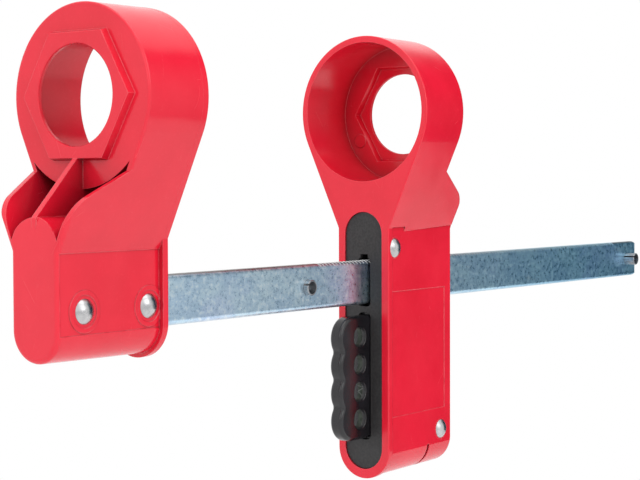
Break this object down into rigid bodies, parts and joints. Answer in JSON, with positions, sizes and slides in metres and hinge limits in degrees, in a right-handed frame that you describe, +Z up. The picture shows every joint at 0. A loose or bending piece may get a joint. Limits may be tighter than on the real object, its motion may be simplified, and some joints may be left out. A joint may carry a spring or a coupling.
{
  "type": "flange lockout clamp",
  "caption": "Ratcheting lockout clamp for a blanked pipe flange: a toothed flat bar with a fixed cup jaw, a sliding cup jaw and a lobed trigger with padlock holes.",
  "frame": {"origin": "centre of the fixed jaw's stud hole, at the floor of its hexagonal nut recess", "axes": "+X along the stud holes and the bar, from the fixed jaw to the bar's free end; +Z up, from the bar to the cups"},
  "size_m": [0.6115, 0.0872, 0.2557],
  "materials": {
    "red_moulding": "moulded nylon, semi-gloss",
    "charcoal_moulding": "moulded, matt",
    "black_moulding": "moulded, satin",
    "zinc_bar": "zinc plated, bluish",
    "rivet_steel": "bright",
    "pin_steel": "oiled spring steel",
    "core_steel": "blackened, oiled",
    "plate_steel": "stamped",
    "spring_steel": "drawn wire"
  },
  "bodies": {
    "bar_and_fixed_jaw": {"toothed_bar": "zinc_bar", "fixed_jaw_housing": "red_moulding", "fixed_jaw_insert": "charcoal_moulding", "fixed_jaw_rivets": "rivet_steel", "inner_stop_pin": "pin_steel", "end_stop_pin": "pin_steel"},
    "sliding_jaw": {"sliding_jaw_housing": "red_moulding", "sliding_jaw_insert": "charcoal_moulding", "pawl_pivot_rivet": "rivet_steel", "lower_jaw_rivet": "rivet_steel", "pivot_spacers": "rivet_steel", "lower_rivet_spacer": "rivet_steel", "rear_bar_guide": "charcoal_moulding", "pawl_spring": "spring_steel", "upper_trigger_spring": "spring_steel", "lower_trigger_spring": "spring_steel"},
    "trigger": {"trigger": "black_moulding", "trigger_core": "core_steel", "release_arms": "plate_steel", "release_arm_pins": "rivet_steel"},
    "pawl": {"pawl": "plate_steel", "pawl_lift_pin": "rivet_steel"}
  },
  "joints": [
    {"name": "jaw_slide", "type": "slide", "parent": "bar_and_fixed_jaw", "child": "sliding_jaw", "axis": [1, 0, 0], "range_m": [-0.0536, 0.2634]},
    {"name": "trigger_press", "type": "slide", "parent": "sliding_jaw", "child": "trigger", "axis": [1, 0, 0], "range_m": [0, 0.008], "stiffness_N_per_m": 1500, "springref_m": -0.004, "deforming": ["upper_trigger_spring", "lower_trigger_spring"]},
    {"name": "pawl_lift", "type": "hinge", "parent": "sliding_jaw", "child": "pawl", "pos_m": [0.2374, 0, -0.0782], "axis": [0, -1, 0], "range_deg": [0, 7], "deforming": ["pawl_spring"]}
  ],
  "couplings": [
    {"joint": "pawl_lift", "follows": "trigger_press", "rad_per_m": 14.6}
  ]
}
